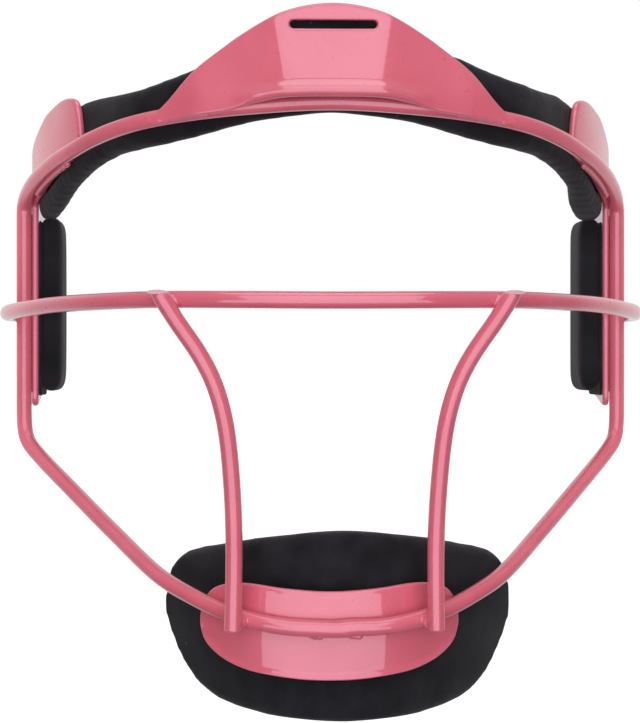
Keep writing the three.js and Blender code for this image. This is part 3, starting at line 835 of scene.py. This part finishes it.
steel_plate(
    "forehead_plate_steel", "forehead_plate", Creased(),
    band_outline(-FOREHEAD_HALF, FOREHEAD_HALF, forehead_bottom, forehead_top, 0.5, 0.7),
    BEFORE_WIRE, forehead_shift, 0.9, holes=[slot_outline(*FOREHEAD_SLOT)],
)

TEMPLE_START, PLATE_END = 90.0, 183.9
side_top = heights([
    [TEMPLE_START, 56], [91.3, 59], [94, 60.6], [101.5, 61.1], [112.8, 59.5], [120, 57.9],
    [127, 55.1], [136, 51.2], [142, 47.6], [156, 42.5], [170, 37], [179, 29.5], [184, 20],
])
SIDE_LOW = [
    (90, 47.5), (91.3, 45), (94, 43.4), (98.8, 42), (112.8, 38.6), (125, 35.2), (136, 32.2),
    (139, 31.2), (139.5, -28.4), (140.6, -31.2), (142.5, -32.2), (146, -32), (152, -30.6),
    (160, -29.2), (170, -28), (177, -25.5), (181, -21), (183.9, -12),
]
SIDE_SLOT, SIDE_SLOT_BACK, SIDE_SLOT_HEIGHTS = (5.2, 22), 33, (17.5, -11.5)


def side_shift(s, z):
    """The front of the temple lobe flares a little outwards above the wire."""
    return -0.7 * smoothstep(z, 49, 58) * (1 - smoothstep(np.abs(s), 93, 116))


for name, k in SIDES:
    s = np.linspace(PLATE_END, TEMPLE_START, 180)
    outline = np.concatenate([SIDE_LOW, np.stack([s, side_top(s)], 1)])
    outline = closed(outline, 0.5, 0.8) * [k, 1]
    slot_at = k * (SIDE_START + SIDE_SLOT_BACK)
    holes = [slot_outline(slot_at, z, *SIDE_SLOT) for z in SIDE_SLOT_HEIGHTS]
    steel_plate(f"side_plate_steel_{name}", f"side_plate_{name}", brow, outline,
                BEHIND_WIRE, side_shift, 1.0, holes=holes)

chin_plate_top = heights([
    [0, -82], [13.5, -81.3], [26, -80.1], [34, -80.8], [38.9, -83], [41.8, -87.4], [42.7, -91],
])
chin_plate_bottom = heights([
    [0, -107.2], [9.5, -106.9], [20, -105.8], [27, -104.6], [34, -102.2], [38.5, -99.4],
    [41.5, -96.4], [42.7, -93.2],
])
CHIN_HALF, ROLL_RISE = 42.7, 2.6


def chin_lean(z):
    return CHIN_LEAN * soft_ramp(CHIN_WIRE_Z - z, 3.0)


def chin_shift(s, z):
    """The plate leans back below the wire, and its lower rim rolls forward."""
    low = chin_plate_bottom(s)
    rise = np.clip((z - low) / ROLL_RISE, 0, 1)
    roll = 1.2 * smoothstep(CHIN_WIRE_Z - low, 0, 8) * (1 - rise) ** 2
    return chin_lean(z) - roll


steel_plate(
    "chin_plate_steel", "chin_plate", chin,
    band_outline(-CHIN_HALF, CHIN_HALF, chin_plate_bottom, chin_plate_top, 0.5, 0.9),
    BEHIND_WIRE, chin_shift, 0.9, shift=CHIN_PLATE_SHIFT,
)

# ---- Pads -------------------------------------------------------------

PAD_HALF, PAD_CORNER = 144.6, 6
pad_top = heights([
    [0, 82.0], [10, 80.6], [17, 77.3], [24.5, 73.2], [31, 69.8], [38, 66.8], [44, 64.6],
    [50, 63.2], [56, 61.9], [62, 61], [73.5, 59.9], [84, 59.7], [100, 58.6], [112, 56.6],
    [127, 51.5], [144, 44],
])
pad_bottom = heights([
    [0, 53.5], [12, 52.4], [30, 50.8], [52, 48.2], [69, 46.1], [80.5, 44.2], [92, 41.8],
    [107, 37.6], [120, 33.6], [132, 30.1], [144, 27.9],
])
PAD_STEP = 58.4                       # above this the pad fills out to the forehead plate


def patch_mask(s, z, s0, s1, z0, z1, soft=1.2):
    """One inside a patch and zero outside it, with a soft edge."""
    across = smoothstep(s, s0 - soft, s0) * (1 - smoothstep(s, s1, s1 + soft))
    return across * smoothstep(z, z0 - soft, z0) * (1 - smoothstep(z, z1, z1 + soft))


CLOSE = PLATE_INNER + 0.15            # a pad's back where it lies against a plate
RECESS = PAD_BACK - CLOSE             # and how much deeper it is over its hook patch
TEMPLE_HOOK = (97.0, 126.0, 4.0, 13.0)
SIDE_HOOK = (2.5, 21.5, 21.2)


def forehead_pad_back(s, z):
    """The pad's back: behind the wire, and above it filled out to the plate in the middle."""
    d = np.abs(s)
    s0, s1, low, high = TEMPLE_HOOK
    rise = z - pad_bottom(s)
    over_hook = patch_mask(d, rise, s0, s1, low, high)
    behind = PLATE_OUTER + GAP + (CLOSE - PLATE_OUTER - GAP) * smoothstep(d, 60, 83)
    behind = behind + RECESS * over_hook
    under_plate = 1 - smoothstep(d, 38, 52)
    to_panel = (PANEL_FRONT - BROW_FRONT) * (1 - smoothstep(d, 9, 27))
    plate_back = -PLATE_OUTER - to_panel + LEAN * soft_ramp(z - BEND_HEIGHT, 3.0)
    close = plate_back + 2 * GAP + HOOK
    fill = under_plate * smoothstep(z, PAD_STEP, PAD_STEP + 2.4)
    return behind + (np.minimum(close, behind + 4) - behind) * fill


def corner_cut(distance, radius):
    """How far a round corner cuts in, by the distance from its end."""
    run = np.clip(radius - distance, 0, radius)
    return radius - np.sqrt(radius * radius - run * run)


def forehead_pad_low(s):
    """The lower edge sags between the middle and the temples."""
    d = np.abs(s)
    droop = 1.5 * smoothstep(d, 15, 45) - 0.7 * smoothstep(d, 120, 140)
    droop = droop + 1.0 * np.exp(-((d - 55) / 14) ** 2)
    return pad_bottom(s) - droop + 0.1 * corner_cut(PAD_HALF - d, PAD_CORNER)


def forehead_pad_high(s):
    """The pad sits a little high behind the right wing of the plate."""
    tilt = 1.0 * np.exp(-((s - 37) / 8) ** 2) - 0.8 * np.exp(-((s + 60) / 14) ** 2)
    tilt = tilt + 1.6 * smoothstep(s, 30, 42) * (1 - smoothstep(s, 84, 100))
    return pad_top(s) + tilt - corner_cut(PAD_HALF - np.abs(s), PAD_CORNER)


def forehead_pad_face(s, z):
    """The pad is fuller at its ends, more so on the right."""
    ends = 3.0 * smoothstep(s, 110, 132) + 1.0 * smoothstep(-s, 110, 132)
    return PAD_FACE + ends + 0 * z


def points_of(obj):
    co = np.zeros(len(obj.data.vertices) * 3)
    obj.data.vertices.foreach_get("co", co)
    return co.reshape(-1, 3)


def move_points(obj, points):
    obj.data.vertices.foreach_set("co", np.asarray(points, float).ravel())
    obj.data.update()


def clothe(obj, curve, shift=0.0):
    """Stores where each point lies on the cloth, in millimetres along and up."""
    points = points_of(obj) / MM - [shift, 0, 0]
    distance, _ = curve.locate(points)
    cloth = np.stack([distance, points[:, 2], np.zeros(len(points))], 1)
    attribute = obj.data.attributes.new("cloth", "FLOAT_VECTOR", "POINT")
    attribute.data.foreach_set("vector", cloth.astype(np.float32).ravel())


def apply_modifiers(obj):
    graph = bpy.context.evaluated_depsgraph_get()
    mesh = bpy.data.meshes.new_from_object(obj.evaluated_get(graph))
    obj.modifiers.clear()
    obj.data = mesh


def voxel_remesh(obj, voxel):
    remesh = obj.modifiers.new("even", "REMESH")
    remesh.mode = "VOXEL"
    remesh.voxel_size = voxel * MM
    apply_modifiers(obj)


def simulate(obj, most, pressure=4.0, frames=16):
    """Fills a pad out as stuffed cloth, each point moving at most so far, in millimetres."""
    rest = points_of(obj)
    cloth = obj.modifiers.new("cloth", "CLOTH")
    cloth.settings.quality = 5
    cloth.settings.mass = 0.2
    cloth.settings.use_pressure = True
    cloth.settings.uniform_pressure_force = pressure
    cloth.settings.effector_weights.gravity = 0
    for number in range(1, frames + 1):
        bpy.context.scene.frame_set(number)
    apply_modifiers(obj)
    bpy.context.scene.frame_set(1)
    moved = points_of(obj) - rest
    reach = np.linalg.norm(moved, axis=1, keepdims=True)
    limit = most * MM
    moved *= limit * np.tanh(reach / limit) / np.maximum(reach, 1e-9)
    move_points(obj, rest + moved)


def rest_against(obj, curve, back, shift):
    """Flattens the pad where it would pass through what it rests against."""
    points = points_of(obj) / MM - [shift, 0, 0]
    s, offset = curve.locate(points)
    least = back(s, points[:, 2])
    pressed = offset < least
    points[pressed] = curve.place(s[pressed], least[pressed], points[pressed, 2])
    move_points(obj, (points + [shift, 0, 0]) * MM)


def pad(name, curve, outline, back, face, most, nodes, voxel, rim, grow, shift=0.0,
        passes=6):
    """One padded body in its knit skin, filled out by a cloth simulation.

    most is how far a point may move, and grow how much wider than its outline it starts.
    """
    swell = 0.8 * most                 # it swells, so it starts from a thinner shape
    vertices, faces = slab_mesh(
        curve, inset(outline, -grow), back, lambda s, z: face(s, z) - swell, rim, 2.0)
    obj = make(name, vertices + [shift, 0, 0], faces)
    turn_outward(obj)
    voxel_remesh(obj, voxel)
    simulate(obj, most)
    smooth = obj.modifiers.new("soften", "SMOOTH")
    smooth.iterations = passes
    fine = obj.modifiers.new("fine", "SUBSURF")
    fine.levels = fine.render_levels = 1
    apply_modifiers(obj)
    rest_against(obj, curve, back, shift)
    obj.data.polygons.foreach_set("use_smooth", [True] * len(obj.data.polygons))
    obj.data.materials.append(KNIT)
    clothe(obj, curve, shift)
    piece(obj, "pad_fabric", *nodes)
    return obj


def layer(name, curve, outline, back, thickness, material, slot, node, shift=0.0):
    """A thin flat layer of a pad: its back cloth or a hook patch."""
    vertices, faces = slab_mesh(
        curve, outline, back, lambda s, z: back(s, z) + thickness, thickness * 0.47, 1.8)
    obj = make(name, vertices + [shift, 0, 0], faces, material)
    turn_outward(obj)
    clothe(obj, curve, shift)
    return piece(obj, slot, node)


def level(height):
    return lambda s: height + 0 * s


def flat_at(offset):
    return lambda s, z: offset + 0 * s


PAD_VOXEL = 1.5
forehead_outline = band_outline(-PAD_HALF, PAD_HALF, forehead_pad_low, forehead_pad_high, 1.0, 1.0)
pad("forehead_pad_body", brow, forehead_outline,
    forehead_pad_back, forehead_pad_face, 0.9,
    ["forehead_pad_back_fabric", "forehead_pad_foam", "forehead_pad_skin_fabric"],
    voxel=PAD_VOXEL, rim=1.9, grow=1.1, passes=14)
layer("forehead_hook_centre", panel, band_outline(-12, 12, level(62), level(71), 1.0, 1.0),
      lambda s, z: -PLATE_OUTER + GAP + LEAN * (z - BEND_HEIGHT), HOOK, HOOK_TAPE,
      "hook_patch", "forehead_pad_hook_centre")
for name, k in SIDES:
    s0, s1, low, high = TEMPLE_HOOK
    outline = band_outline(*sorted((k * s0, k * s1)), lambda s: pad_bottom(s) + low,
                           lambda s: pad_bottom(s) + high, 1.0, 1.0)
    layer(f"forehead_hook_{name}", brow, outline, flat_at(HOOK_FACE), HOOK, HOOK_TAPE,
          "hook_patch", f"forehead_pad_hook_{name}")

SIDE_PAD_FRONT, SIDE_PAD_REAR, SIDE_PAD_HALF = -2.5, 25.5, 27.2
PROUD = 0.12                          # how far a side pad's back cloth stands out of its body


def side_pad_back(s, z):
    s0, s1, reach = SIDE_HOOK
    return CLOSE + RECESS * patch_mask(np.abs(s) - SIDE_START, z, s0, s1, -reach, reach)


def side_outline(k, low, high, front=SIDE_PAD_FRONT, rear=SIDE_PAD_REAR, corner=2.4):
    """A block with round corners, between two heights and two distances behind the wire."""
    corners = [(front, low), (rear, low), (rear, high), (front, high)]
    return closed([(k * (SIDE_START + d), z) for d, z in corners], 0.7, corner)


for name, k in SIDES:
    pad(f"side_pad_body_{name}", brow, side_outline(k, -SIDE_PAD_HALF, SIDE_PAD_HALF + 0.6),
        lambda s, z: side_pad_back(s, z) + PROUD, flat_at(PAD_FACE + 0.3), 0.8,
        [f"side_pad_foam_{name}", f"side_pad_skin_fabric_{name}"],
        voxel=PAD_VOXEL, rim=3.0, grow=0.5)
    layer(f"side_pad_backing_{name}", brow, side_outline(k, -28.8, 26.6, -2.0, 25.0, 1.2),
          side_pad_back, FABRIC, BACKING, "pad_fabric", f"side_pad_back_fabric_{name}")
    s0, s1, reach = SIDE_HOOK
    layer(f"side_hook_{name}", brow, side_outline(k, -reach, reach, s0, s1, 0.8),
          flat_at(HOOK_FACE), HOOK, HOOK_TAPE, "hook_patch", f"side_pad_hook_{name}")

chin_pad_top = heights([
    [0, -66.4], [18.7, -67.5], [36, -69.5], [50.8, -71.8], [60, -73.4], [65, -75.4],
    [68.6, -78.6], [70.7, -83], [71.4, -88],
])
chin_pad_bottom = heights([
    [0, -119.6], [17.5, -119.1], [30, -118.4], [43.5, -116.8], [54, -114.6], [61, -110.8],
    [65, -106.8], [68, -101.8], [70.5, -96], [71.4, -92.4],
])
CHIN_PAD_BACK = PAD_BACK + 1.6
CHIN_PAD_FACE = CHIN_PAD_BACK + 2 * (FABRIC + GAP) + CHIN_FOAM
CHIN_PAD_HALF = 71.4


def chin_pad_back(s, z):
    """The pad is pressed on to its hook patch in the middle."""
    return CHIN_PAD_BACK - 1.7 * np.exp(-(s / 26) ** 2) + chin_lean(z)


chin_outline = band_outline(-CHIN_PAD_HALF, CHIN_PAD_HALF, chin_pad_bottom, chin_pad_top, 1.0, 1.4)
chin_outline *= [1.006, 1]            # the rounding narrowed it a little
pad("chin_pad_body", chin, chin_outline, chin_pad_back,
    lambda s, z: CHIN_PAD_FACE + chin_lean(z), 1.3,
    ["chin_pad_back_fabric", "chin_pad_foam", "chin_pad_skin_fabric"],
    voxel=1.7, rim=3.2, grow=1.2, shift=CHIN_PAD_SHIFT)
layer("chin_hook", chin, band_outline(-24, 24, level(-102), level(-84), 1.0, 1.0),
      lambda s, z: HOOK_FACE + chin_lean(z), HOOK, HOOK_TAPE, "hook_patch", "chin_pad_hook")

all_welds()

# ---- Floor and light, in metres and watts -----------------------------

FLOOR_Z = -0.6
FLOOR_REACH = 90.0
WORLD_BASE = 0.13
# An axis of the direction, the range over which the light grows, and how much it adds.
WORLD_PARTS = (("Y", 0.3, 0.9, 0.8), ("Z", 0.3, 0.9, 0.3), ("Z", -0.2, -0.75, 0.1))


def add_floor():
    corners = [(x * FLOOR_REACH, y * FLOOR_REACH, FLOOR_Z)
               for x, y in ((-1, -1), (1, -1), (1, 1), (-1, 1))]
    obj = make("floor", np.array(corners) / MM, [(0, 1, 2, 3)])
    m = Nodes("pale_floor")
    tone = m.noise(m.place(), 3, 2)
    m.set(Base_Color=m.mix(tone, rgb(250, 250, 250), rgb(254, 254, 254)), Roughness=0.9)
    m.set(Emission_Color=(1, 1, 1, 1), Emission_Strength=0.75)
    obj.data.materials.append(m.material)
    obj.visible_glossy = obj.visible_diffuse = False


def add_world():
    """White where the camera sees it, and for light and gloss a grey, brightest behind the mask."""
    world = bpy.data.worlds.new("studio")
    bpy.context.scene.world = world
    world.use_nodes = True
    tree = world.node_tree
    tree.nodes.clear()
    new, link = tree.nodes.new, tree.links.new
    seen, lit = new("ShaderNodeBackground"), new("ShaderNodeBackground")
    seen.inputs["Color"].default_value = (1, 1, 1, 1)
    mix, path, out = (new(f"ShaderNode{kind}") for kind in
                      ("MixShader", "LightPath", "OutputWorld"))
    coordinate, axes = new("ShaderNodeTexCoord"), new("ShaderNodeSeparateXYZ")
    link(coordinate.outputs["Generated"], axes.inputs[0])
    strength = WORLD_BASE
    for axis, low, high, gain in WORLD_PARTS:
        ramp = new("ShaderNodeMapRange")
        ramp.interpolation_type = "SMOOTHSTEP"
        link(axes.outputs[axis], ramp.inputs[0])
        for socket, value in zip(ramp.inputs[1:5], (low, high, 0, gain)):
            socket.default_value = value
        total = new("ShaderNodeMath")
        link(ramp.outputs[0], total.inputs[0])
        if isinstance(strength, float):
            total.inputs[1].default_value = strength
        else:
            link(strength, total.inputs[1])
        strength = total.outputs[0]
    link(strength, lit.inputs["Strength"])
    link(path.outputs["Is Camera Ray"], mix.inputs[0])
    link(lit.outputs[0], mix.inputs[1])
    link(seen.outputs[0], mix.inputs[2])
    link(mix.outputs[0], out.inputs["Surface"])


def softbox(name, place, size, power, aim=(0, -0.06, 0), colour=(1, 1, 1), gloss=True):
    """A rectangular lamp aimed at a point, which shows in the gloss unless told not to."""
    data = bpy.data.lights.new(name, "AREA")
    data.shape = "RECTANGLE"
    data.size, data.size_y = size
    data.energy = power
    data.color = colour
    obj = bpy.data.objects.new(name, data)
    obj.location = place
    obj.rotation_euler = (Vector(aim) - Vector(place)).to_track_quat("-Z", "Y").to_euler()
    obj.visible_camera = False
    obj.visible_glossy = gloss
    bpy.context.scene.collection.objects.link(obj)


COOL = (0.97, 0.9, 1)
add_floor()
add_world()
softbox("front", (0.0, -1.3, 0.5), (1.55, 1.6), 15.2, colour=COOL)
softbox("low", (-0.05, -0.95, -0.43), (1.5, 0.62), 5.8, colour=COOL)
softbox("overhead", (0.0, -0.25, 1.2), (1.0, 0.8), 4.5)
for name, k in SIDES:
    softbox(f"side_{name}", (0.26 * k, 0.03, 0.03), (0.12, 0.3), 0.33, aim=(0.1 * k, -0.01, 0.02),
            gloss=False)
bpy.context.scene.view_settings.view_transform = "Standard"
